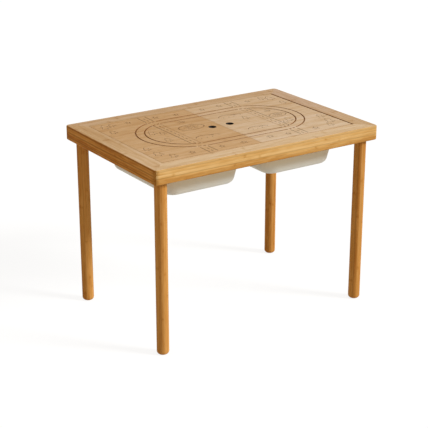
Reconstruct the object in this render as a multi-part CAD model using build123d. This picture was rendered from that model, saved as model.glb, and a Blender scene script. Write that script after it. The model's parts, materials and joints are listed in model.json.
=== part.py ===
from build123d import *

import math
import os

# Children's play table in bamboo: a mitred top frame on four screw-in legs, two bins hung inside the
# frame and two flush lids over them. Millimetres, +Z up, +X along the table's length, front at -Y,
# origin on the floor under the middle of the table.

# Overall size
TABLE_LENGTH = 735.0
TABLE_DEPTH = 495.0
TABLE_HEIGHT = 535.0

# Top frame
FRAME_HEIGHT = 41.0
RAIL_WIDTH = 62.0
CORNER_RADIUS = 12.0
EDGE_ROUND = 3.0
ARRIS_ROUND = 0.8

# Lids and the rebate that they lie in
LID_THICKNESS = 12.0
REBATE_WIDTH = 12.0
LID_GAP = 0.5
LID_PLAY = 4.0
LID_END_GAP = 0.75
LID_CORNER_RADIUS = 1.5
FINGER_HOLE_DIAMETER = 22.0
FINGER_HOLE_FROM_SEAM = 29.5

# Twin groove for toy wheels, an oval that runs over both lids
GROOVE_WIDTH = 4.0
GROOVE_DEPTH = 3.0
TRACK_GAUGE = 25.0
TRACK_END_MARGIN = 58.0
TRACK_SIDE_MARGIN = 62.0
CROSSING_FROM_SEAM = 150.0
CROSSING_BREAK = 5.0
CROSSING_BREAK_PITCH = 14.0
CROSSING_BREAKS = 3

# Centre rail between the two bays
CENTRE_RAIL_WIDTH = 24.0
DOWEL_DIAMETER = 8.0
DOWEL_LENGTH = 40.0

# Ledges that carry the bins
LEDGE_THICKNESS = 14.0
OUTER_LEDGE_WIDTH = 10.0
INNER_LEDGE_WIDTH = 16.0
END_LEDGE_WIDTH = 9.0

# Countersunk screws in the ledges
SCREW_DIAMETER = 4.0
SCREW_BITE = 18.0
SCREW_HEAD_DIAMETER = 8.0
SCREW_HEAD_HEIGHT = 2.6
SCREW_POINT = 4.0
SCREW_STAGGER = 12.0
DRIVE_SLOT_LENGTH = 4.2
DRIVE_SLOT_WIDTH = 1.0
DRIVE_SLOT_DEPTH = 1.6

# Bins
BIN_GAP = 2.0
BIN_DRAFT_INSET = 20.0
BIN_DEPTH = 96.0
BIN_WALL = 2.2
BIN_TOP_RADIUS = 46.0
BIN_BOTTOM_RADIUS = 36.0
BIN_BOTTOM_ROUND = 19.0
RIM_WIDTH = 9.0
RIM_HEIGHT = 4.0
RIM_SHEET = 2.5
RIM_LIP = 2.0

# Legs and their fixings
LEG_DIAMETER = 34.0
LEG_INSET = 35.0
FOOT_ROUND = 10.0
BOLT_DIAMETER = 8.0
BOLT_IN_LEG = 40.0
BOLT_POINT = 5.0
BOLT_CHAMFER = 1.0
INSERT_DIAMETER = 12.0
INSERT_FLANGE_DIAMETER = 16.0
INSERT_FLANGE_THICKNESS = 1.5
INSERT_COVER = 2.0
INSERT_CLEARANCE = 2.0

# Loose tongues in the mitres
SPLINE_LENGTH = 46.0
SPLINE_WIDTH = 22.0
SPLINE_THICKNESS = 4.0
SPLINE_COVER = 3.0

# Levels and places that follow from the sizes above
FRAME_BOTTOM = TABLE_HEIGHT - FRAME_HEIGHT
LID_BOTTOM = TABLE_HEIGHT - LID_THICKNESS
LEDGE_TOP = FRAME_BOTTOM + LEDGE_THICKNESS
RIM_TOP = LEDGE_TOP + RIM_HEIGHT
BIN_BOTTOM = RIM_TOP - BIN_DEPTH
HALF_LENGTH = TABLE_LENGTH / 2
HALF_DEPTH = TABLE_DEPTH / 2
BAY_END = HALF_LENGTH - RAIL_WIDTH
BAY_SIDE = HALF_DEPTH - RAIL_WIDTH
RECESS_END = BAY_END + REBATE_WIDTH
RECESS_SIDE = BAY_SIDE + REBATE_WIDTH
LID_LENGTH = RECESS_END - LID_GAP - LID_PLAY / 2
LID_HALF_DEPTH = RECESS_SIDE - LID_END_GAP
LEFT_LID_START = LID_GAP - RECESS_END
RIGHT_LID_START = LEFT_LID_START + LID_LENGTH + LID_GAP
SEAM_X = RIGHT_LID_START - LID_GAP / 2
BIN_MOUTH_START = CENTRE_RAIL_WIDTH / 2 + INNER_LEDGE_WIDTH
BIN_MOUTH_END = BAY_END - OUTER_LEDGE_WIDTH
BIN_CENTRE_X = (BIN_MOUTH_START + BIN_MOUTH_END) / 2
BIN_TOP_WIDTH = BIN_MOUTH_END - BIN_MOUTH_START - 2 * BIN_GAP
BIN_TOP_LENGTH = 2 * (BAY_SIDE - END_LEDGE_WIDTH - BIN_GAP)
SPLINE_BOTTOM = LID_BOTTOM - SPLINE_COVER - SPLINE_THICKNESS
INSERT_LENGTH = SPLINE_BOTTOM - INSERT_COVER - FRAME_BOTTOM
OVERCUT = 5.0

SIDES = {"left": -1, "right": 1}
ENDS = {"front": -1, "back": 1}
CORNERS = {f"{end}_{side}": (sx, sy) for end, sy in ENDS.items() for side, sx in SIDES.items()}


def block(x_span, y_span, z_span):
    """A box given by its low and high value along each axis."""
    spans = (x_span, y_span, z_span)
    sizes = [abs(high - low) for low, high in spans]
    middles = [(high + low) / 2 for low, high in spans]
    return Pos(*middles) * Box(*sizes)


def upright(sketch, z_low, z_high):
    """A sketch on the floor plane, stood up between two levels."""
    return Pos(0, 0, z_low) * extrude(sketch, z_high - z_low, dir=(0, 0, 1))


def cut_all(solid, cutters):
    """The solid with every cutter taken out of it."""
    for cutter in cutters:
        solid = solid - cutter
    return solid


def frame_ring():
    """The whole top frame before it is cut into rails at its mitres."""
    outline = RectangleRounded(TABLE_LENGTH, TABLE_DEPTH, CORNER_RADIUS)
    ring = upright(outline, FRAME_BOTTOM, TABLE_HEIGHT)
    levels = ring.edges().group_by(Axis.Z)
    ring = fillet(levels[0] + levels[-1], EDGE_ROUND)
    bay = Rectangle(2 * BAY_END, 2 * BAY_SIDE)
    recess = Rectangle(2 * RECESS_END, 2 * RECESS_SIDE)
    ring = ring - upright(bay, FRAME_BOTTOM - OVERCUT, TABLE_HEIGHT + OVERCUT)
    ring = ring - upright(recess, LID_BOTTOM, TABLE_HEIGHT + OVERCUT)
    mouth = ring.edges().group_by(Axis.Z)[-1]
    mouth = mouth.filter_by_position(Axis.X, -RECESS_END - ARRIS_ROUND, RECESS_END + ARRIS_ROUND)
    mouth = mouth.filter_by_position(Axis.Y, -RECESS_SIDE - ARRIS_ROUND, RECESS_SIDE + ARRIS_ROUND)
    return fillet(mouth, ARRIS_ROUND)


def mitre_wedges():
    """One prism for each rail, meeting its neighbours on the 45 degree mitres."""
    outer = {"x": HALF_LENGTH + OVERCUT, "y": HALF_DEPTH + OVERCUT}
    inner = {"x": BAY_END - OVERCUT, "y": BAY_SIDE - OVERCUT}
    wedges = {}
    for name, sy in ENDS.items():
        points = [(-outer["x"], sy * outer["y"]), (outer["x"], sy * outer["y"]),
                  (inner["x"], sy * inner["y"]), (-inner["x"], sy * inner["y"])]
        wedges[f"{name}_rail"] = points
    for name, sx in SIDES.items():
        points = [(sx * outer["x"], -outer["y"]), (sx * outer["x"], outer["y"]),
                  (sx * inner["x"], inner["y"]), (sx * inner["x"], -inner["y"])]
        wedges[f"{name}_rail"] = points
    low, high = FRAME_BOTTOM - OVERCUT, TABLE_HEIGHT + OVERCUT
    return {name: upright(Polygon(*points, align=None), low, high) for name, points in wedges.items()}


def leg_centre(sx, sy):
    """Where a leg's axis meets the floor."""
    return sx * (HALF_LENGTH - LEG_INSET), sy * (HALF_DEPTH - LEG_INSET)


def hanger_bolt(sx, sy):
    """A headless bolt: wood thread with a point below, chamfered machine thread above."""
    x, y = leg_centre(sx, sy)
    radius = BOLT_DIAMETER / 2
    bottom = FRAME_BOTTOM - BOLT_IN_LEG
    top = FRAME_BOTTOM + INSERT_LENGTH - INSERT_CLEARANCE
    profile = Polygon((0, bottom), (radius, bottom + BOLT_POINT), (radius, top - BOLT_CHAMFER),
                      (radius - BOLT_CHAMFER, top), (0, top), align=None)
    return Pos(x, y, 0) * revolve(Plane.XZ * profile, Axis.Z)


def insert_blank(sx, sy):
    """The outside of a threaded insert, flange down and flush with the frame's underside."""
    x, y = leg_centre(sx, sy)
    flange_top = FRAME_BOTTOM + INSERT_FLANGE_THICKNESS
    body = upright(Circle(INSERT_DIAMETER / 2), FRAME_BOTTOM, FRAME_BOTTOM + INSERT_LENGTH)
    flange = upright(Circle(INSERT_FLANGE_DIAMETER / 2), FRAME_BOTTOM, flange_top)
    return Pos(x, y, 0) * (body + flange)


def threaded_insert(sx, sy):
    """An insert with its bore open at the top, above the bolt's end."""
    x, y = leg_centre(sx, sy)
    bore = upright(Circle(BOLT_DIAMETER / 2), FRAME_BOTTOM, FRAME_BOTTOM + INSERT_LENGTH)
    return insert_blank(sx, sy) - Pos(x, y, 0) * bore


def leg(sx, sy):
    """A round leg with a rounded foot and a blind hole for its bolt."""
    x, y = leg_centre(sx, sy)
    post = upright(Circle(LEG_DIAMETER / 2), 0, FRAME_BOTTOM)
    post = fillet(post.edges().group_by(Axis.Z)[0], FOOT_ROUND)
    return Pos(x, y, 0) * post - hanger_bolt(sx, sy)


def corner_spline(sx, sy):
    """A loose tongue lying flat across a mitre, half in each rail."""
    x, y = sx * (HALF_LENGTH - RAIL_WIDTH / 2), sy * (HALF_DEPTH - RAIL_WIDTH / 2)
    tongue = Box(SPLINE_LENGTH, SPLINE_WIDTH, SPLINE_THICKNESS)
    turn = math.degrees(math.atan2(sy, sx))
    return Pos(x, y, SPLINE_BOTTOM + SPLINE_THICKNESS / 2) * Rot(0, 0, turn) * tongue


def centre_rail_blank():
    """The bar that carries both lids at the seam."""
    half = CENTRE_RAIL_WIDTH / 2
    return block((-half, half), (-BAY_SIDE, BAY_SIDE), (FRAME_BOTTOM, LID_BOTTOM))


def centre_rail_dowels():
    """Two dowels, one above the other, in each end of the centre rail."""
    height = LID_BOTTOM - FRAME_BOTTOM
    pin = Rot(90, 0, 0) * Cylinder(DOWEL_DIAMETER / 2, DOWEL_LENGTH)
    levels = [FRAME_BOTTOM + share * height for share in (0.25, 0.75)]
    return [Pos(0, sy * BAY_SIDE, level) * pin for sy in ENDS.values() for level in levels]


def ledge_blanks(sx):
    """The four ledges of one bay: two that run its whole depth and two between them."""
    z_span = (FRAME_BOTTOM, LEDGE_TOP)
    whole = (-BAY_SIDE, BAY_SIDE)
    mouth = (sx * BIN_MOUTH_START, sx * BIN_MOUTH_END)
    ledges = {
        "outer": block((sx * BIN_MOUTH_END, sx * BAY_END), whole, z_span),
        "inner": block((sx * CENTRE_RAIL_WIDTH / 2, sx * BIN_MOUTH_START), whole, z_span),
    }
    for end, sy in ENDS.items():
        ledges[end] = block(mouth, (sy * (BAY_SIDE - END_LEDGE_WIDTH), sy * BAY_SIDE), z_span)
    return ledges


def wood_screw(start, direction, length):
    """A countersunk screw whose head lies flush at start."""
    radius = SCREW_DIAMETER / 2
    head = SCREW_HEAD_DIAMETER / 2
    profile = Polygon((0, 0), (head, 0), (radius, SCREW_HEAD_HEIGHT), (radius, length - SCREW_POINT),
                      (0, length), align=None)
    blank = revolve(Plane.XZ * profile, Axis.Z)
    return Plane(origin=start, z_dir=direction) * blank


def drive_slots(start, direction):
    """The cross recess in a screw head."""
    slot = Box(DRIVE_SLOT_LENGTH, DRIVE_SLOT_WIDTH, 2 * DRIVE_SLOT_DEPTH)
    return Plane(origin=start, z_dir=direction) * (slot + Rot(0, 0, 90) * slot)


def screw_places(sx):
    """Head place, direction and length of each screw of one bay, by the ledge that it holds."""
    level = LEDGE_TOP - LEDGE_THICKNESS / 2
    long_pitch = 2 * BAY_SIDE / 3
    short_pitch = (BIN_MOUTH_END - BIN_MOUTH_START) / 4
    stagger = sx * SCREW_STAGGER
    places = {"outer": [], "inner": [], "front": [], "back": []}
    for row in (-1, 0, 1):
        outer_start = (sx * BIN_MOUTH_END, row * long_pitch, level)
        inner_start = (sx * BIN_MOUTH_START, row * long_pitch + stagger, level)
        places["outer"].append((outer_start, (sx, 0, 0), OUTER_LEDGE_WIDTH + SCREW_BITE))
        places["inner"].append((inner_start, (-sx, 0, 0), INNER_LEDGE_WIDTH + SCREW_BITE))
    for end, sy in ENDS.items():
        for step in (-1, 1):
            start = (sx * BIN_CENTRE_X + step * short_pitch, sy * (BAY_SIDE - END_LEDGE_WIDTH), level)
            places[end].append((start, (0, sy, 0), END_LEDGE_WIDTH + SCREW_BITE))
    return places


def bin_body(width, length, radius, base_radius, z_low, z_high):
    """A drafted tub with rounded corners, wider at the top."""
    inset = 2 * BIN_DRAFT_INSET
    base = Pos(0, 0, z_low) * RectangleRounded(width - inset, length - inset, base_radius)
    mouth = Pos(0, 0, z_high) * RectangleRounded(width, length, radius)
    return loft([base.face(), mouth.face()])


def storage_bin(sx):
    """A moulded bin: drafted walls and a turned-down rim that hangs on the ledges."""
    shell = bin_body(BIN_TOP_WIDTH, BIN_TOP_LENGTH, BIN_TOP_RADIUS, BIN_BOTTOM_RADIUS, BIN_BOTTOM, RIM_TOP)
    shell = fillet(shell.edges().group_by(Axis.Z)[0], BIN_BOTTOM_ROUND)
    cavity = bin_body(BIN_TOP_WIDTH - 2 * BIN_WALL, BIN_TOP_LENGTH - 2 * BIN_WALL,
                      BIN_TOP_RADIUS - BIN_WALL, BIN_BOTTOM_RADIUS - BIN_WALL,
                      BIN_BOTTOM + BIN_WALL, RIM_TOP)
    cavity = fillet(cavity.edges().group_by(Axis.Z)[0], BIN_BOTTOM_ROUND - BIN_WALL)
    rim_size = (BIN_TOP_WIDTH + 2 * RIM_WIDTH, BIN_TOP_LENGTH + 2 * RIM_WIDTH)
    rim_outline = RectangleRounded(*rim_size, BIN_TOP_RADIUS + RIM_WIDTH)
    under_rim = RectangleRounded(rim_size[0] - 2 * RIM_LIP, rim_size[1] - 2 * RIM_LIP,
                                 BIN_TOP_RADIUS + RIM_WIDTH - RIM_LIP)
    rim = upright(rim_outline, LEDGE_TOP, RIM_TOP)
    rim = fillet(rim.edges().group_by(Axis.Z)[-1], RIM_LIP / 2)
    rim = rim - upright(under_rim, LEDGE_TOP - OVERCUT, RIM_TOP - RIM_SHEET)
    return Pos(sx * BIN_CENTRE_X, 0, 0) * (shell + rim - cavity)


def track_grooves():
    """Both grooves of the oval track, broken into short dashes where a road crosses them."""
    grooves = []
    for inset in (0, TRACK_GAUGE):
        length = 2 * (RECESS_END - TRACK_END_MARGIN - inset)
        width = 2 * (RECESS_SIDE - TRACK_SIDE_MARGIN - inset)
        oval = SlotOverall(length + GROOVE_WIDTH, width + GROOVE_WIDTH)
        oval = oval - SlotOverall(length - GROOVE_WIDTH, width - GROOVE_WIDTH)
        grooves.append(upright(oval, TABLE_HEIGHT - GROOVE_DEPTH, TABLE_HEIGHT + OVERCUT))
    bridges = []
    for sx in SIDES.values():
        for count in range(CROSSING_BREAKS):
            offset = (count - (CROSSING_BREAKS - 1) / 2) * CROSSING_BREAK_PITCH
            middle = SEAM_X + sx * CROSSING_FROM_SEAM + offset
            x_span = (middle - CROSSING_BREAK / 2, middle + CROSSING_BREAK / 2)
            bridges.append(block(x_span, (-RECESS_SIDE, RECESS_SIDE), (LID_BOTTOM, TABLE_HEIGHT + OVERCUT)))
    return [cut_all(groove, bridges) for groove in grooves]


def lid(start_x, hole_x):
    """A flush lid with eased edges, a finger hole and its share of the track."""
    middle_x = start_x + LID_LENGTH / 2
    outline = Pos(middle_x, 0, 0) * RectangleRounded(LID_LENGTH, 2 * LID_HALF_DEPTH, LID_CORNER_RADIUS)
    hole = Pos(hole_x, 0, 0) * Circle(FINGER_HOLE_DIAMETER / 2)
    panel = upright(outline, LID_BOTTOM, TABLE_HEIGHT)
    panel = panel - upright(hole, LID_BOTTOM - OVERCUT, TABLE_HEIGHT + OVERCUT)
    panel = fillet(panel.edges().group_by(Axis.Z)[-1], ARRIS_ROUND)
    return cut_all(panel, track_grooves())


def table_parts():
    """Every piece of the table by name."""
    parts = {}
    rail_cutters = []
    centre_cutters = centre_rail_dowels()
    for corner, (sx, sy) in CORNERS.items():
        parts[f"{corner}_leg"] = leg(sx, sy)
        parts[f"{corner}_leg_bolt"] = hanger_bolt(sx, sy)
        parts[f"{corner}_leg_insert"] = threaded_insert(sx, sy)
        parts[f"{corner}_corner_spline"] = corner_spline(sx, sy)
        rail_cutters += [insert_blank(sx, sy), corner_spline(sx, sy)]
    parts["centre_rail_dowels"] = Compound(children=centre_rail_dowels())
    rail_cutters += centre_rail_dowels()
    for side, sx in SIDES.items():
        places = screw_places(sx)
        screws = []
        for name, ledge in ledge_blanks(sx).items():
            blanks = [wood_screw(*place) for place in places[name]]
            screws += [wood_screw(*place) - drive_slots(*place[:2]) for place in places[name]]
            parts[f"{side}_bay_{name}_ledge"] = cut_all(ledge, blanks)
            if name == "inner":
                centre_cutters += blanks
            else:
                rail_cutters += blanks
        parts[f"{side}_bay_screws"] = Compound(children=screws)
        parts[f"{side}_bin"] = storage_bin(sx)
    parts["centre_rail"] = cut_all(centre_rail_blank(), centre_cutters)
    ring = cut_all(frame_ring(), rail_cutters)
    for name, wedge in mitre_wedges().items():
        parts[name] = ring & wedge
    parts["left_lid"] = lid(LEFT_LID_START, SEAM_X - FINGER_HOLE_FROM_SEAM)
    parts["right_lid"] = lid(RIGHT_LID_START, SEAM_X + FINGER_HOLE_FROM_SEAM)
    return parts


os.makedirs("parts", exist_ok=True)
for part_name, part_shape in table_parts().items():
    export_step(part_shape, f"parts/{part_name}.step")
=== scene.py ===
import json
import math

import bpy
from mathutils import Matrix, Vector

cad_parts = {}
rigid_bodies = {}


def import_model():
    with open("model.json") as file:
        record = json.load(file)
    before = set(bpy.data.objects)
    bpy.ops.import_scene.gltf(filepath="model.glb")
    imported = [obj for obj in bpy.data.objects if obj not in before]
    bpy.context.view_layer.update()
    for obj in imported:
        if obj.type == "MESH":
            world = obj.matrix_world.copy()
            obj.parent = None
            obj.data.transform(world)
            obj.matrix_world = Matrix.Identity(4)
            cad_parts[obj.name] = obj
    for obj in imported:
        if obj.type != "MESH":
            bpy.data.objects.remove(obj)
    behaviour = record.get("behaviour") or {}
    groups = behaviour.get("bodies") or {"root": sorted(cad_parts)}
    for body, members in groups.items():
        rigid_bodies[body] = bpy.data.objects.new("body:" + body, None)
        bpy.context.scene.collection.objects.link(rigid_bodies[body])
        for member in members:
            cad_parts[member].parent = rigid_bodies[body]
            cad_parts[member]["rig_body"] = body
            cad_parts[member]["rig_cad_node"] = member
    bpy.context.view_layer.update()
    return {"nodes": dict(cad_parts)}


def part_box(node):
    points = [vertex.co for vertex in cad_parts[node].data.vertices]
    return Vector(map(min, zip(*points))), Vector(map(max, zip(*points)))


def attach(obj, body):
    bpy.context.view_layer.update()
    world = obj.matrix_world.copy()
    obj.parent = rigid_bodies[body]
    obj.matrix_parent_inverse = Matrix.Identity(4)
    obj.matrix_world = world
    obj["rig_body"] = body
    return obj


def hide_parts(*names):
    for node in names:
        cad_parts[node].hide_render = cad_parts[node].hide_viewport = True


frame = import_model()

# Sizes of the table, in metres
LID_BOXES = {side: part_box(f"{side}_lid") for side in ("left", "right")}
TABLE_TOP = LID_BOXES["left"][1].z
SEAM_X = (LID_BOXES["left"][1].x + LID_BOXES["right"][0].x) / 2
LID_BACK = LID_BOXES["left"][1].y
LID_GAP = 0.0005
LID_END_GAP = 0.00075
RECESS_END = LID_GAP - LID_BOXES["left"][0].x
RECESS_SIDE = LID_BACK + LID_END_GAP
FRAME_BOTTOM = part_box("front_rail")[0].z
HALF_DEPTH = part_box("left_rail")[1].y
BIN_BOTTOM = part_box("left_bin")[0].z

# Lid details, in metres
FINGER_HOLE_FROM_SEAM = 0.0295
FINGER_HOLE_RADIUS = 0.011
ARRIS = 0.0012
GROOVE_DEPTH = 0.003
TRACK_OUTSIDE = 0.142
TRACK_INSIDE = 0.104
STROKE_RADIUS = 0.0009
ROAD_FROM_SEAM = 0.150
ROAD_HALF_WIDTH = 0.0125
ROAD_END_MARGIN = 0.006
DASH_START = 0.004
DASH_LENGTH = 0.011
DASH_GAP = 0.009

# Limits for one point, a level face, a face square to an axis and a sharp edge
MERGE_DISTANCE = 0.000002
FLAT = 0.00003
SQUARE = 0.9999
SHARP_ANGLE = math.radians(35)

# Features of the bamboo: length along the grain and width across it in metres, and fineness
DRIFT = (0.33, 0.018, 1.0)
FIGURE = (0.045, 0.0065, 2.0)
STREAKS = (0.20, 0.0021, 3.0)
FLECKS = (0.018, 0.00045, 1.0)
SCARS = (0.075, 0.0030, 1.0)
WANDER = (0.033, 0.006, 2.0)
NODE_SPACING = 0.27
NODE_WANDER = 0.012
NODE_BAND_WIDTH = 0.009
NODE_LINE_WIDTH = 0.0022
STRIP_LINE_WIDTH = 0.0007
BAMBOO_SPECULAR = 0.018

# Where the painted light changes: depths under the table top where the tops' painted sheen starts,
# the place across the top where the painted light falloff stops, the reach of the painted gap shade at
# the rebate's walls, and heights up the bins for their painted shade under the frame
LIT_TOP_START = 0.0008
LIT_TOP_FULL = 0.0001
FALLOFF_END_Y = 0.10
GAP_SHADE_REACH = 0.0004
BIN_SHADE_START = 0.006
BIN_SHADE_FULL = 0.040

# Camera and light
CAMERA_PLACE = Vector((-1.8888, -2.8002, 1.5331))
CAMERA_AZIMUTH = math.radians(-33.637)
CAMERA_ELEVATION = math.radians(20.552)
FOCAL_PIXELS = 1243.6
IMAGE_PIXELS = 428
SENSOR_WIDTH = 36.0
AMBIENT = 0.47
FILL_TINT = (1.0, 0.92, 0.80)
KEY_AZIMUTH = math.radians(42)
KEY_ELEVATION = math.radians(30)
KEY_SPREAD = math.radians(14)
KEY_STRENGTH = 2.74
KEY_DISTANCE = 3.0
FLOOR_SIZE = 60.0
FLOOR_BOUNCE = 0.70
FLOOR_GLOW = 0.87
FLOOR_SHADE = 0.18
WHITE = (1.0, 1.0, 1.0, 1.0)

# Middle tones of the boards. The front faces' tone is a lit copy and the side faces' deeper, redder
# tone a shaded copy of one bamboo, a painted shade. A top has one in front and one at the back: the tops
# are paler by a painted sheen and lighter in front by a painted light falloff, and the right lid is paler
# still by a painted sheen.
LIT_FRONT_FACE = (0.622, 0.366, 0.126)
SHADED_SIDE_FACE = (0.567, 0.238, 0.045)
LEG_FACE = (0.560, 0.265, 0.066)
FRONT_RAIL_TOP = ((0.711, 0.503, 0.291), (0.711, 0.503, 0.291))
BACK_RAIL_TOP = ((0.568, 0.372, 0.203), (0.568, 0.372, 0.203))
LEFT_RAIL_TOP = ((0.684, 0.474, 0.272), (0.555, 0.350, 0.168))
RIGHT_RAIL_TOP = ((0.594, 0.389, 0.200), (0.580, 0.395, 0.252))
LEFT_LID_TOP = ((0.629, 0.399, 0.200), (0.568, 0.347, 0.162))
RIGHT_LID_TOP = ((0.718, 0.534, 0.351), (0.633, 0.437, 0.255))

# A board's pale, middle and deep tones, its marks together with the painted shade toward each end of
# the side rails, and the painted gap shade on its raw cuts, as shares of the middle tone
BOARD_PLACES = (0.0, 0.5, 1.0)
PALE_SHARES = (1.14, 1.26, 1.6)
DEEP_SHARES = (0.76, 0.62, 0.45)
MARK_AND_SHADE_SHARE = 0.30
GAP_SHADE_SHARE = 0.42
GAP_SHADE_COVER = 0.85

# Tones of the other finishes
# The groove walls' deeper tones are a painted shade in the grooves and on the lids' top edges
GROOVE_WALL_SHADE_TONES = ((0.360, 0.150, 0.045), (0.250, 0.095, 0.026))
GROOVE_FLOOR_TONES = ((0.540, 0.290, 0.105), (0.430, 0.205, 0.066))
ENGRAVED_TONES = ((0.085, 0.034, 0.011), (0.150, 0.064, 0.020), (0.230, 0.105, 0.036))
CHAR_TONES = ((0.006, 0.005, 0.004), (0.022, 0.015, 0.011))
# The bins' second tone, towards the rim, is a painted shade under the frame, warmer from the bamboo
PLASTIC_TONES = ((0.75, 0.77, 0.74), (0.78, 0.69, 0.52))
BEECH_TONES = ((0.60, 0.42, 0.26), (0.70, 0.53, 0.36))
ZINC_TONES = ((0.56, 0.57, 0.58), (0.72, 0.72, 0.70))


def plug(tree, socket, value):
    """Links a shader value to a socket, or sets a plain one on it."""
    if isinstance(value, Shade):
        tree.links.new(value.socket, socket)
    else:
        socket.default_value = value


class Shade:
    """A shader value. Sums on it add their Math nodes."""

    def __init__(self, tree, socket):
        self.tree = tree
        self.socket = socket

    def math(self, operation, *terms):
        made = self.tree.nodes.new("ShaderNodeMath")
        made.operation = operation
        for socket, term in zip(made.inputs, terms):
            plug(self.tree, socket, term)
        return Shade(self.tree, made.outputs[0])

    def __add__(self, other):
        return self.math("ADD", self, other)

    __radd__ = __add__

    def __sub__(self, other):
        return self.math("SUBTRACT", self, other)

    def __rsub__(self, other):
        return self.math("SUBTRACT", other, self)

    def __mul__(self, other):
        return self.math("MULTIPLY", self, other)

    __rmul__ = __mul__

    def __truediv__(self, other):
        return self.math("DIVIDE", self, other)

    def __rtruediv__(self, other):
        return self.math("DIVIDE", other, self)

    def __abs__(self):
        return self.math("ABSOLUTE", self)

    def __floor__(self):
        return self.math("FLOOR", self)

    def fraction(self):
        return self.math("FRACT", self)

    def at_least(self, other):
        return self.math("MAXIMUM", self, other)


class Nodes:
    """A node tree that nodes are added to."""

    def __init__(self, tree):
        self.tree = tree
        tree.nodes.clear()

    def node(self, kind, settings=None, sockets=None, output=0):
        """Adds a node: its settings first, then the values or links of its sockets."""
        made = self.tree.nodes.new(kind)
        for key, value in (settings or {}).items():
            if key == "stops":
                self.set_stops(made.color_ramp, value)
            else:
                setattr(made, key, value)
        for key, value in (sockets or {}).items():
            plug(self.tree, made.inputs[key], value)
        return Shade(self.tree, made.outputs[output]) if made.outputs else None

    @staticmethod
    def set_stops(ramp, stops):
        while len(ramp.elements) < len(stops):
            ramp.elements.new(1.0)
        for element, (position, colour) in zip(ramp.elements, stops):
            element.position = position
            element.color = (*colour, 1.0)

    def ray(self, name):
        """1 for rays of one kind, such as those from the camera."""
        return self.node("ShaderNodeLightPath", output=f"Is {name} Ray")

    def background_rays(self):
        """1 for rays that see the plain background: the camera's, and those by way of metal or glass."""
        return self.ray("Camera").at_least(self.ray("Glossy")).at_least(self.ray("Transmission"))


class Finish(Nodes):
    """One procedural material, whose patterns lie in the table's own coordinates."""

    def __init__(self, name):
        self.material = bpy.data.materials.new(name)
        self.material.use_nodes = True
        super().__init__(self.material.node_tree)
        self.place = self.node("ShaderNodeTexCoord", output="Object")
        self.axis = {axis: self.node("ShaderNodeSeparateXYZ", None, {0: self.place}, axis)
                     for axis in "XYZ"}

    def vector(self, x, y, z):
        return self.node("ShaderNodeCombineXYZ", None, {0: x, 1: y, 2: z})

    def noise(self, vector, scale=1.0, detail=2.0, roughness=0.5):
        sockets = {"Vector": vector, "Scale": scale, "Detail": detail, "Roughness": roughness}
        return self.node("ShaderNodeTexNoise", None, sockets)

    def chance(self, number):
        """A steady random value between 0 and 1 for each number."""
        return self.node("ShaderNodeTexWhiteNoise", {"noise_dimensions": "1D"}, {"W": number})

    def fade(self, value, start, end, low=0.0, high=1.0):
        """Goes smoothly from low at start to high at end."""
        sockets = {0: value, 1: start, 2: end, 3: low, 4: high}
        return self.node("ShaderNodeMapRange", {"interpolation_type": "SMOOTHSTEP"}, sockets)

    def ramp(self, value, places, tones):
        """Goes through the tones, each at its place between 0 and 1."""
        return self.node("ShaderNodeValToRGB", {"stops": list(zip(places, tones))}, {0: value})

    def mix(self, factor, first, second):
        """The first colour at factor 0, the second at factor 1. Either may be a plain tone."""
        first, second = (c if isinstance(c, Shade) else (*c, 1.0) for c in (first, second))
        return self.node("ShaderNodeMix", {"data_type": "RGBA"}, {0: factor, 6: first, 7: second}, 2)

    def bump(self, height, strength, distance):
        sockets = {"Height": height, "Strength": strength, "Distance": distance}
        return self.node("ShaderNodeBump", None, sockets)

    def surface(self, **sockets):
        """Ends the material in a Principled shader. Underscores in the names stand for spaces."""
        named = {key.replace("_", " "): value for key, value in sockets.items()}
        return self.done(self.node("ShaderNodeBsdfPrincipled", None, named))

    def done(self, shader):
        self.node("ShaderNodeOutputMaterial", None, {"Surface": shader})
        return self.material


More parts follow.
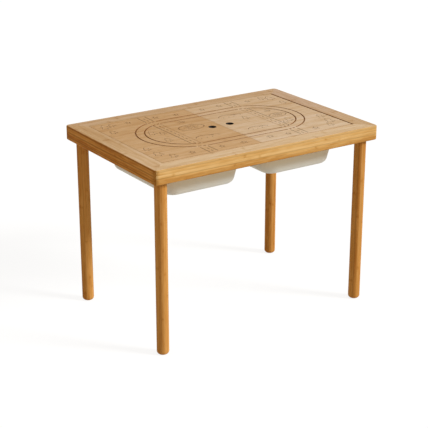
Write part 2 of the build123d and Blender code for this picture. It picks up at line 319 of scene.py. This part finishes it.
def bamboo(name, axes, tones, layer_height, layer_start, line_width, line_depth, strip_width, strip_start,
           node_depth, gloss, contrast=1.0, sink=0.0, lit_top_tones=None, end_shade=None, gap_shade_faces=None):
    """Pressed bamboo: stacked layers of narrow strips with glue lines, growth nodes, long streaks and
    fine fibres. axes are the grain, strip and layer directions. contrast is that of the streaks, sink
    makes lower layers deeper, lit_top_tones are those of the top face in front and at the back, paler by
    a painted sheen and lighter in front by a painted light falloff, ends are the half length, reach and
    depth of a painted shade close to each end of the board, and gap_shade_faces gives a mask of the
    rebate's raw milled faces, which carry a painted gap shade.
    The odd factors of layer and strip numbers only keep their random values apart."""
    finish = Finish(name)
    along, sideways, upward = (finish.axis[axis] for axis in axes)
    layers = (upward - layer_start) / layer_height
    layer_number = math.floor(layers)
    strips = (sideways - strip_start) / strip_width + layer_number * 0.37
    strip_name = layer_number * 7.13 + math.floor(strips) * 3.71
    layer_tone = finish.chance(layer_number * 5.3 + 2.7)
    strip_tone = finish.chance(strip_name)
    shift = finish.chance(strip_name + 0.5)

    def grain_noise(length, width, detail, offset=0.0):
        """Noise drawn out along the grain, with features about as long and wide as that."""
        place = finish.vector(along / length + offset, sideways / width, upward / width)
        return finish.noise(place, detail=detail)

    def glue_line(position, size, width):
        """1 on the lines between strips, 0 away from them. Every second line is a strong one."""
        distance = (0.5 - abs(position.fraction() - 0.5)) * size
        number = math.floor(position + 0.5)
        strong = 1.0 - (number * 0.5).fraction() * 2.0
        weight = finish.chance(number * 1.91 + 11.3) * 0.4 + strong * 0.6
        return finish.fade(distance, 0.0, width, 1.0, 0.0) * weight

    lines = glue_line(layers, layer_height, line_width)
    lines = lines.at_least(glue_line(strips, strip_width, STRIP_LINE_WIDTH) * 0.5)
    drift = grain_noise(*DRIFT)
    figure = grain_noise(*FIGURE, shift * 5.0)
    streaks = grain_noise(*STREAKS, shift * 9.0)
    flecks = finish.fade(grain_noise(*FLECKS, shift * 5.0), 0.62, 0.74)
    scars = finish.fade(grain_noise(*SCARS, shift * 31.0), 0.72, 0.80)
    wander = grain_noise(*WANDER)
    node_place = (along / NODE_SPACING + shift * 3.0).fraction()
    node_distance = abs((node_place - 0.5) * NODE_SPACING + (wander - 0.5) * NODE_WANDER)
    node_band = finish.fade(node_distance, 0.0, NODE_BAND_WIDTH, 1.0, 0.0) * node_depth
    node_line = finish.fade(node_distance, 0.0, NODE_LINE_WIDTH, 1.0, 0.0)
    node_line = node_line * finish.fade(wander, 0.46, 0.60) * node_depth

    shade = (layer_tone - 0.5) * 0.35 + (strip_tone - 0.5) * 0.35 + node_band * 0.26 + 0.5
    grain = (streaks - 0.5) * 1.1 + (figure - 0.5) * 0.9 + (drift - 0.5) * 0.8
    shade = shade + grain * contrast
    if sink:
        shade = shade + finish.fade(finish.axis["Z"], FRAME_BOTTOM, TABLE_TOP, sink, -sink)
    colour = finish.ramp(shade, BOARD_PLACES, board_tones(tones))
    marks_and_shade = (lines * line_depth).at_least(flecks * 0.25).at_least(scars * 0.5).at_least(node_line * 0.35)
    # A painted shade darkens the board close to each end, where the rounded corners turn from the light
    if end_shade:
        half, reach, depth = end_shade
        marks_and_shade = marks_and_shade.at_least(finish.fade(abs(along), half - reach, half, 0.0, depth))
    # The top's paler tones are a painted sheen, lighter in front than at the back by a painted light
    # falloff
    if lit_top_tones:
        on_top = finish.fade(finish.axis["Z"], TABLE_TOP - LIT_TOP_START, TABLE_TOP - LIT_TOP_FULL)
        calm = (streaks - 0.5) + (figure - 0.5) * 0.8 + (drift - 0.5) * 0.4
        top_shade = calm + (strip_tone - 0.5) * 0.2 + node_band * 0.25 + 0.5
        lit_front, dim_back = (finish.ramp(top_shade, BOARD_PLACES, board_tones(tone)) for tone in lit_top_tones)
        lit_top_colour = finish.mix(finish.fade(finish.axis["Y"], -HALF_DEPTH, FALLOFF_END_Y), lit_front, dim_back)
        colour = finish.mix(on_top, colour, lit_top_colour)
        top_marks = (flecks * 0.25).at_least(scars * 0.4).at_least(node_line * 0.35)
        marks_and_shade = marks_and_shade + on_top * (top_marks - marks_and_shade)
    colour = finish.mix(marks_and_shade, colour, dimmed(tones, MARK_AND_SHADE_SHARE))
    # A painted gap shade on the rebate's walls and floor beside the lids
    if gap_shade_faces:
        colour = finish.mix(gap_shade_faces(finish) * GAP_SHADE_COVER, colour, dimmed(tones, GAP_SHADE_SHARE))
    height = streaks * 0.5 - lines * 0.8 - flecks * 0.5 - scars * 0.6 - node_line * 0.5
    rough = gloss + (streaks - 0.5) * 0.16 + flecks * 0.12
    return finish.surface(Base_Color=colour, Roughness=rough, Specular_IOR_Level=BAMBOO_SPECULAR,
                          Normal=finish.bump(height, strength=0.22, distance=0.0004))


def board_tones(middle):
    """Pale, middle and deep tone of a board."""
    pale = tuple(channel * share for channel, share in zip(middle, PALE_SHARES))
    deep = tuple(channel * share for channel, share in zip(middle, DEEP_SHARES))
    return pale, middle, deep


def dimmed(tone, share):
    """A tone at a share of its brightness."""
    return tuple(channel * share for channel in tone)


def recess_walls(finish):
    """1 on the walls and floor of the rebate that the lids lie in, which carry a painted gap shade."""
    outside = (abs(finish.axis["X"]) - RECESS_END).at_least(abs(finish.axis["Y"]) - RECESS_SIDE)
    return finish.fade(outside, GAP_SHADE_REACH, GAP_SHADE_REACH * 2, 1.0, 0.0)


def milled_bamboo(name, tones):
    """Raw bamboo in the milled track grooves. The walls' deeper tones are a painted shade, which also
    makes a painted gap line on the lids' top edges.
    """
    finish = Finish(name)
    grain = finish.noise(finish.vector(finish.axis["X"] * 40.0, finish.axis["Y"] * 700.0,
                                       finish.axis["Z"] * 700.0))
    colour = finish.ramp(grain, (0.25, 0.75), tones)
    return finish.surface(Base_Color=colour, Roughness=0.66, Specular_IOR_Level=0.2,
                          Normal=finish.bump(grain, strength=0.3, distance=0.0003))


def engraved_bamboo():
    """The scorched engraved lines."""
    finish = Finish("engraved_bamboo")
    char = finish.noise(finish.place, scale=700.0, detail=3.0, roughness=0.6)
    drift = finish.noise(finish.place, scale=60.0, detail=1.0)
    colour = finish.ramp(char * 0.6 + drift * 0.4, (0.30, 0.55, 0.80), ENGRAVED_TONES)
    return finish.surface(Base_Color=colour, Roughness=0.78, Specular_IOR_Level=0.15,
                          Normal=finish.bump(char, strength=0.4, distance=0.0003))


def charred_wall():
    """The black laser-cut wall of a finger hole."""
    finish = Finish("charred_wall")
    lines = finish.noise(finish.vector(finish.axis["X"] * 900.0, finish.axis["Y"] * 900.0,
                                       finish.axis["Z"] * 60.0))
    colour = finish.ramp(lines, (0.3, 0.7), CHAR_TONES)
    return finish.surface(Base_Color=colour, Roughness=0.55, Specular_IOR_Level=0.3,
                          Normal=finish.bump(lines, strength=0.3, distance=0.0003))


def frosted_plastic():
    """Matt off-white plastic of the bins, a little cloudy, warmer towards the rim by a painted shade
    under the frame.
    """
    finish = Finish("frosted_plastic")
    cloud = finish.noise(finish.place, scale=14.0, detail=3.0, roughness=0.55)
    spark = finish.noise(finish.place, scale=1500.0, roughness=0.6)
    frame_shade = finish.fade(finish.axis["Z"], BIN_BOTTOM + BIN_SHADE_START, BIN_BOTTOM + BIN_SHADE_FULL)
    colour = finish.ramp(cloud * 0.35 + frame_shade * 0.65, (0.1, 0.9), PLASTIC_TONES)
    return finish.surface(Base_Color=colour, Roughness=0.46 + cloud * 0.14, Specular_IOR_Level=0.35,
                          Normal=finish.bump(spark, strength=0.10, distance=0.0002))


def beech():
    """Plain beech of the dowels and tongues."""
    finish = Finish("beech")
    pores = finish.noise(finish.place, scale=900.0)
    colour = finish.ramp(pores, (0.3, 0.7), BEECH_TONES)
    return finish.surface(Base_Color=colour, Roughness=0.62,
                          Normal=finish.bump(pores, strength=0.2, distance=0.0002))


def zinc_plate():
    """Bright zinc plate of the bolts, inserts and screws."""
    finish = Finish("zinc_plate")
    spangle = finish.noise(finish.place, scale=420.0)
    colour = finish.ramp(spangle, (0.3, 0.7), ZINC_TONES)
    return finish.surface(Base_Color=colour, Metallic=1.0, Roughness=0.26 + spangle * 0.18,
                          Normal=finish.bump(spangle, strength=0.06, distance=0.0002))


def long_rail_bamboo(name, lit_top_tones):
    """Bamboo of the front and back rails: glue lines 5, 14, 23 and 32 mm below the top."""
    return bamboo(name, "XYZ", LIT_FRONT_FACE, layer_height=0.0090, layer_start=TABLE_TOP - 0.0050,
                  line_width=0.0026, line_depth=0.45, strip_width=0.021, strip_start=0.0047,
                  node_depth=1.0, gloss=0.44, contrast=1.25, sink=0.32, lit_top_tones=lit_top_tones,
                  gap_shade_faces=recess_walls)


def short_rail_bamboo(name, lit_top_tones):
    """Bamboo of the left and right rails: strong glue lines 3, 17 and 31 mm below the top."""
    # The side faces' deeper, redder tone is a painted shade
    return bamboo(name, "YXZ", SHADED_SIDE_FACE, layer_height=0.0070, layer_start=TABLE_TOP - 0.0032,
                  line_width=0.0034, line_depth=0.75, strip_width=0.021, strip_start=0.0047,
                  node_depth=1.0, gloss=0.44, contrast=2.3, sink=0.06, lit_top_tones=lit_top_tones,
                  end_shade=(HALF_DEPTH, 0.026, 0.50), gap_shade_faces=recess_walls)


def lid_bamboo(name, lit_top_tones):
    """Bamboo of the lids: wide strips of one face layer."""
    return bamboo(name, "XYZ", lit_top_tones[1], layer_height=0.006, layer_start=TABLE_TOP - 0.0032,
                  line_width=0.0012, line_depth=0.30, strip_width=0.0205, strip_start=0.003,
                  node_depth=0.45, gloss=0.46, lit_top_tones=lit_top_tones)


def leg_bamboo():
    """Bamboo of the legs: strips stand upright."""
    return bamboo("leg_bamboo", "ZYX", LEG_FACE, layer_height=0.0072, layer_start=0.0021,
                  line_width=0.0017, line_depth=0.30, strip_width=0.019, strip_start=0.0041,
                  node_depth=1.0, gloss=0.42)


def dress(node, material):
    """Gives a CAD node its finish."""
    for slot in frame["nodes"][node].material_slots:
        slot.material = material


def dress_frame():
    """Finishes for every CAD node that stays as it is."""
    rails = {"front_rail": long_rail_bamboo("front_rail_bamboo", FRONT_RAIL_TOP),
             "back_rail": long_rail_bamboo("back_rail_bamboo", BACK_RAIL_TOP),
             "left_rail": short_rail_bamboo("left_rail_bamboo", LEFT_RAIL_TOP),
             "right_rail": short_rail_bamboo("right_rail_bamboo", RIGHT_RAIL_TOP)}
    upright = leg_bamboo()
    plastic = frosted_plastic()
    steel = zinc_plate()
    pale_wood = beech()
    for node in frame["nodes"]:
        if node.endswith(("_bolt", "_insert", "_screws")):
            dress(node, steel)
        elif node.endswith(("_spline", "_dowels")):
            dress(node, pale_wood)
        elif node.endswith("_bin"):
            dress(node, plastic)
        elif node.endswith("_leg"):
            dress(node, upright)
        elif node in rails:
            dress(node, rails[node])
        elif node.endswith(("front_ledge", "back_ledge")):
            dress(node, rails["front_rail"])
        elif not node.endswith("_lid"):
            dress(node, rails["left_rail"])


def line(*points):
    """An open stroke through the points."""
    return [Vector(point) for point in points], False


def ring(centre, radius_x, radius_y, steps=28):
    """A closed oval stroke."""
    turns = [math.tau * step / steps for step in range(steps)]
    return [Vector((centre[0] + radius_x * math.cos(t), centre[1] + radius_y * math.sin(t)))
            for t in turns], True


def arc(centre, radius_x, radius_y, start, end, steps=14):
    """A part of an oval, between two angles in degrees."""
    turns = [math.radians(start + (end - start) * step / steps) for step in range(steps + 1)]
    return [Vector((centre[0] + radius_x * math.cos(t), centre[1] + radius_y * math.sin(t)))
            for t in turns], False


def pine_tree(x, y, size):
    """A tree of two stacked triangles on a trunk."""
    half, waist, tip = 0.42 * size, 0.20 * size, size
    outline = [(x - half, y), (x - waist, y + 0.48 * tip), (x - 0.8 * half, y + 0.48 * tip), (x, y + tip),
               (x + 0.8 * half, y + 0.48 * tip), (x + waist, y + 0.48 * tip), (x + half, y)]
    trunk = line((x, y - 0.26 * size), (x, y - 0.05 * size))
    return [([Vector(point) for point in outline], True), trunk]


def hill(x, y, size):
    """Two round hills, one behind the other, with a few grass ticks."""
    strokes = [arc((x, y), size, 0.62 * size, 12, 168),
               arc((x + 0.95 * size, y), 0.62 * size, 0.42 * size, 8, 128)]
    for step in (-0.6, 0.0, 0.6):
        tick = x + step * size
        strokes.append(line((tick, y - 0.20 * size), (tick + 0.10 * size, y - 0.05 * size)))
    return strokes


def pond(x, y, size):
    """A pond with ripples."""
    ripples = []
    for row, width in ((-0.22, 0.5), (0.04, 0.75), (0.30, 0.45)):
        points = [(x + (step / 12 - 0.5) * 2 * width * size * 0.8,
                   y + row * size + 0.05 * size * math.sin(step * 1.55)) for step in range(13)]
        ripples.append(line(*points))
    return [ring((x, y), size, 0.58 * size, 36)] + ripples


def boat(x, y, size):
    """A toy boat with one sail."""
    hull = [(x - 0.5 * size, y), (x + 0.5 * size, y), (x + 0.32 * size, y - 0.24 * size),
            (x - 0.32 * size, y - 0.24 * size)]
    sail = [(x - 0.02 * size, y + 0.10 * size), (x - 0.02 * size, y + 0.70 * size),
            (x + 0.42 * size, y + 0.10 * size)]
    return [([Vector(point) for point in hull], True), ([Vector(point) for point in sail], True)]


def star(x, y, size):
    """A five-pointed star."""
    points = []
    for step in range(10):
        radius = size if step % 2 == 0 else 0.45 * size
        turn = math.pi / 2 + math.tau * step / 10
        points.append(Vector((x + radius * math.cos(turn), y + radius * math.sin(turn))))
    return [(points, True)]


def dashes(start, end, length, gap):
    """A broken line from start to end."""
    start, end = Vector(start), Vector(end)
    step = (end - start).normalized()
    count = int((end - start).length // (length + gap))
    return [line(start + step * k * (length + gap), start + step * (k * (length + gap) + length))
            for k in range(count)]


def road(side):
    """A straight road from the front of the lid to the back, open where the track crosses it."""
    middle = SEAM_X + side * ROAD_FROM_SEAM
    end = LID_BACK - ROAD_END_MARGIN
    strokes = []
    for low, high in ((-end, -TRACK_OUTSIDE), (-TRACK_INSIDE, TRACK_INSIDE), (TRACK_OUTSIDE, end)):
        for edge in (-ROAD_HALF_WIDTH, ROAD_HALF_WIDTH):
            strokes.append(line((middle + edge, low), (middle + edge, high)))
        strokes += dashes((middle, low + DASH_START), (middle, high), DASH_LENGTH, DASH_GAP)
    return strokes


def left_lid_strokes():
    """The engraved picture on the left lid."""
    strokes = road(-1)
    strokes += pond(-0.082, 0.030, 0.040) + boat(-0.080, 0.088, 0.024)
    strokes += hill(-0.100, -0.072, 0.030)
    for x, y, size in ((-0.285, 0.150, 0.034), (-0.262, 0.158, 0.024), (-0.290, 0.098, 0.026),
                       (-0.288, -0.140, 0.032), (-0.262, -0.172, 0.026), (-0.292, -0.086, 0.024),
                       (-0.205, 0.030, 0.030), (-0.180, 0.018, 0.022), (-0.200, -0.046, 0.026)):
        strokes += pine_tree(x, y, size)
    for x, y, size in ((-0.118, 0.168, 0.011), (-0.052, 0.160, 0.009), (-0.040, -0.168, 0.011),
                       (-0.110, -0.166, 0.009), (-0.205, -0.166, 0.010), (-0.210, 0.166, 0.010)):
        strokes += star(x, y, size)
    return strokes


def right_lid_strokes():
    """The engraved picture on the right lid."""
    strokes = road(1)
    strokes += hill(0.062, 0.060, 0.030) + hill(0.066, -0.078, 0.026)
    strokes += pond(0.196, 0.000, 0.028) + boat(0.194, 0.050, 0.022)
    for x, y, size in ((0.282, 0.146, 0.034), (0.258, 0.162, 0.024), (0.289, 0.092, 0.024),
                       (0.284, -0.142, 0.034), (0.262, -0.170, 0.024), (0.290, -0.090, 0.026),
                       (0.194, -0.066, 0.028), (0.172, -0.080, 0.019), (0.100, 0.016, 0.026)):
        strokes += pine_tree(x, y, size)
    for x, y, size in ((0.040, 0.164, 0.010), (0.104, 0.170, 0.011), (0.050, -0.164, 0.011),
                       (0.108, -0.170, 0.009), (0.205, 0.166, 0.009), (0.205, -0.168, 0.011)):
        strokes += star(x, y, size)
    return strokes


def only(piece):
    """Selects one piece alone and makes it the active one."""
    bpy.ops.object.select_all(action="DESELECT")
    piece.select_set(True)
    bpy.context.view_layer.objects.active = piece


def join_points(piece):
    """Joins the points of a piece that lie on each other."""
    only(piece)
    bpy.ops.object.mode_set(mode="EDIT")
    bpy.ops.mesh.select_all(action="SELECT")
    bpy.ops.mesh.remove_doubles(threshold=MERGE_DISTANCE)
    bpy.ops.object.mode_set(mode="OBJECT")


def engraving_tool(name, strokes):
    """The strokes as thin closed rods lying in the lid's top face."""
    curve = bpy.data.curves.new(name, "CURVE")
    curve.dimensions = "3D"
    curve.bevel_depth = STROKE_RADIUS
    curve.bevel_resolution = 1
    curve.use_fill_caps = True
    for points, closed in strokes:
        spline = curve.splines.new("POLY")
        spline.points.add(len(points) - 1)
        for target, point in zip(spline.points, points):
            target.co = (point.x, point.y, TABLE_TOP, 1.0)
        spline.use_cyclic_u = closed
    tool = bpy.data.objects.new(name, curve)
    bpy.context.scene.collection.objects.link(tool)
    only(tool)
    bpy.ops.object.convert(target="MESH")
    tool = bpy.context.view_layer.objects.active
    join_points(tool)
    bpy.ops.object.mode_set(mode="EDIT")
    bpy.ops.mesh.normals_make_consistent(inside=False)
    bpy.ops.object.mode_set(mode="OBJECT")
    return tool


def carve(piece, tool):
    """Takes the tool's shape out of the piece."""
    only(piece)
    cut = piece.modifiers.new("engraving", "BOOLEAN")
    cut.operation = "DIFFERENCE"
    cut.solver = "EXACT"
    cut.use_self = True
    cut.object = tool
    bpy.ops.object.modifier_apply(modifier=cut.name)
    bpy.data.objects.remove(tool)


def sort_faces(piece, side):
    """Gives a lid's faces their finishes, in the order of its materials. The edges of the top take the
    groove walls' painted shade as a painted gap line, apart from the left edge."""
    low, high = LID_BOXES[side]
    hole = Vector((SEAM_X + math.copysign(FINGER_HOLE_FROM_SEAM, low.x + high.x), 0.0))
    surface, engraved, groove_and_edge_shade, groove_floor, charred = range(5)
    for face in piece.data.polygons:
        middle = face.center
        corners = [piece.data.vertices[index].co.xy for index in face.vertices]
        inside = min(middle.x - low.x, high.x - middle.x, middle.y - low.y, high.y - middle.y) > ARRIS
        depth = TABLE_TOP - middle.z
        face.material_index = surface
        if all((corner - hole).length < FINGER_HOLE_RADIUS + ARRIS / 2 for corner in corners):
            face.material_index = charred
        elif inside and FLAT < depth < STROKE_RADIUS + FLAT:
            face.material_index = engraved
        elif inside and FLAT < depth < GROOVE_DEPTH - FLAT:
            face.material_index = groove_and_edge_shade
        elif middle.x - low.x > ARRIS and FLAT < depth < ARRIS:
            face.material_index = groove_and_edge_shade
        elif inside and abs(depth - GROOVE_DEPTH) <= FLAT:
            face.material_index = groove_floor


def soften(piece):
    """Smooths the rounded faces and keeps those square to an axis flat."""
    only(piece)
    bpy.ops.mesh.customdata_custom_splitnormals_clear()
    bpy.ops.object.shade_smooth_by_angle(angle=SHARP_ANGLE)
    for face in piece.data.polygons:
        if max(abs(part) for part in face.normal) > SQUARE:
            face.use_smooth = False


def lid(side, strokes, lit_top_tones, other_finishes):
    """A lid with its engraved picture, milled grooves and charred finger hole."""
    node = f"{side}_lid"
    source = frame["nodes"][node]
    piece = source.copy()
    piece.data = source.data.copy()
    piece.name = f"{side}_lid_panel"
    bpy.context.scene.collection.objects.link(piece)
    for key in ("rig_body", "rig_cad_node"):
        del piece[key]
    piece.parent = None
    join_points(piece)
    carve(piece, engraving_tool(f"{side}_strokes", strokes))
    join_points(piece)
    piece.data.materials.clear()
    for material in (lid_bamboo(f"{side}_lid_bamboo", lit_top_tones), *other_finishes):
        piece.data.materials.append(material)
    sort_faces(piece, side)
    soften(piece)
    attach(piece, node)
    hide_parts(node)


def white_world():
    """A surround that looks white and lights the object at a plain level."""
    world = bpy.data.worlds.new("white_surround")
    bpy.context.scene.world = world
    world.use_nodes = True
    nodes = Nodes(world.node_tree)
    ambient = nodes.node("ShaderNodeBackground", None, {"Color": (*FILL_TINT, 1.0), "Strength": AMBIENT})
    plain = nodes.node("ShaderNodeBackground", None, {"Color": WHITE, "Strength": 1.0})
    blend = nodes.node("ShaderNodeMixShader", None, {0: nodes.background_rays(), 1: ambient, 2: plain})
    nodes.node("ShaderNodeOutputWorld", None, {"Surface": blend})


def white_floor():
    """A floor that looks white and keeps the table's shadow. From below it is clear."""
    bpy.ops.object.select_all(action="DESELECT")
    bpy.ops.mesh.primitive_plane_add(size=FLOOR_SIZE)
    floor = bpy.context.view_layer.objects.active
    floor.name = "floor"
    finish = Finish("white_floor")
    warm_bounce = (*dimmed(FILL_TINT, FLOOR_BOUNCE), 1.0)
    bounce = finish.node("ShaderNodeBsdfDiffuse", None, {"Color": warm_bounce})
    shade = finish.node("ShaderNodeBsdfDiffuse", None, {"Color": (*[FLOOR_SHADE] * 3, 1.0)})
    glow = finish.node("ShaderNodeEmission", None, {"Color": WHITE, "Strength": FLOOR_GLOW})
    seen = finish.node("ShaderNodeAddShader", None, {0: shade, 1: glow})
    background = finish.background_rays()
    upper_side = finish.node("ShaderNodeMixShader", None, {0: background, 1: bounce, 2: seen})
    from_below = finish.node("ShaderNodeNewGeometry", output="Backfacing")
    clear = finish.node("ShaderNodeBsdfTransparent")
    finish.done(finish.node("ShaderNodeMixShader", None, {0: from_below, 1: upper_side, 2: clear}))
    floor.data.materials.append(finish.material)


def direction(azimuth, elevation):
    """A unit vector towards a place seen at that azimuth and elevation."""
    flat = math.cos(elevation)
    return Vector((math.sin(azimuth) * flat, -math.cos(azimuth) * flat, math.sin(elevation)))


def soft_key():
    """One even soft light from the front right."""
    lamp = bpy.data.lights.new("soft_key", "SUN")
    lamp.energy = KEY_STRENGTH
    lamp.angle = KEY_SPREAD
    light = bpy.data.objects.new("soft_key", lamp)
    bpy.context.scene.collection.objects.link(light)
    towards = direction(KEY_AZIMUTH, KEY_ELEVATION)
    light.location = towards * KEY_DISTANCE
    light.rotation_mode = "QUATERNION"
    light.rotation_quaternion = (-towards).to_track_quat("-Z", "Y")


def photo_camera():
    """The camera at the photograph's place and angle."""
    lens = bpy.data.cameras.new("camera")
    lens.sensor_width = SENSOR_WIDTH
    lens.lens = FOCAL_PIXELS * SENSOR_WIDTH / IMAGE_PIXELS
    camera = bpy.data.objects.new("camera", lens)
    bpy.context.scene.collection.objects.link(camera)
    camera.location = CAMERA_PLACE
    camera.rotation_mode = "QUATERNION"
    back = direction(CAMERA_AZIMUTH, CAMERA_ELEVATION)
    camera.rotation_quaternion = (-back).to_track_quat("-Z", "Y")
    bpy.context.scene.camera = camera


dress_frame()
lid_finishes = (engraved_bamboo(), milled_bamboo("groove_and_edge_shade", GROOVE_WALL_SHADE_TONES),
                milled_bamboo("groove_floor", GROOVE_FLOOR_TONES), charred_wall())
lid("left", left_lid_strokes(), LEFT_LID_TOP, lid_finishes)
lid("right", right_lid_strokes(), RIGHT_LID_TOP, lid_finishes)
white_world()
white_floor()
soft_key()
photo_camera()
bpy.context.scene.view_settings.view_transform = "Standard"
